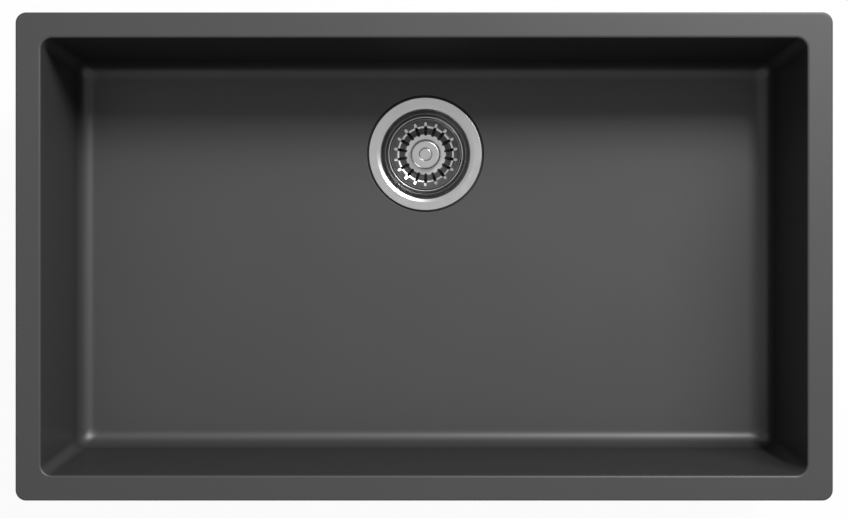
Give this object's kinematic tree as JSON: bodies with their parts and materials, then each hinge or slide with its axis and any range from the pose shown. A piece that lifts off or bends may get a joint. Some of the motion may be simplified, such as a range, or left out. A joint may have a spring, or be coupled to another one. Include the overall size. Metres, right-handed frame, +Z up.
{
  "type": "kitchen sink",
  "caption": "Undermount kitchen sink: one deep rectangular bowl in dark stone composite, with a slotted basket strainer waste near the back wall that lifts out and turns.",
  "frame": {"origin": "centre of the rim's flat top face, which is glued up under a worktop", "axes": "+X to the user's right along the sink's longest side, +Y to the back where the waste is, +Z up out of the bowl"},
  "size_m": [0.77, 0.46, 0.303],
  "materials": {
    "stone_composite": "matt, fine grained",
    "polished_steel": "polished",
    "plain_steel": "turned",
    "brass": "machined",
    "black_rubber": "moulded",
    "dark_plastic": "moulded, satin"
  },
  "bodies": {
    "sink": {"sink_bowl": "stone_composite", "rim_inserts": "brass", "flange_seal": "black_rubber", "strainer_cup": "polished_steel", "floor_gasket": "black_rubber", "waste_body": "dark_plastic", "clamp_nut": "brass", "clamp_screw": "plain_steel", "clamp_washer": "plain_steel", "inlet_cap": "dark_plastic", "inlet_cap_washer": "black_rubber"},
    "plug_stem": {"stem_pin": "plain_steel", "rubber_plug": "black_rubber", "plug_washer": "plain_steel", "stem_nut": "plain_steel", "catch_ring": "black_rubber"},
    "basket": {"basket_shell": "polished_steel", "knob_cap": "polished_steel", "knob_spacer": "dark_plastic", "hub_bush": "dark_plastic"}
  },
  "joints": [
    {"name": "basket_lift", "type": "slide", "parent": "sink", "child": "plug_stem", "axis": [0, 0, 1], "range_m": [0, 0.27]},
    {"name": "basket_turn", "type": "hinge", "parent": "plug_stem", "child": "basket", "pos_m": [0, 0.101, -0.2], "axis": [0, 0, 1], "continuous": true}
  ]
}
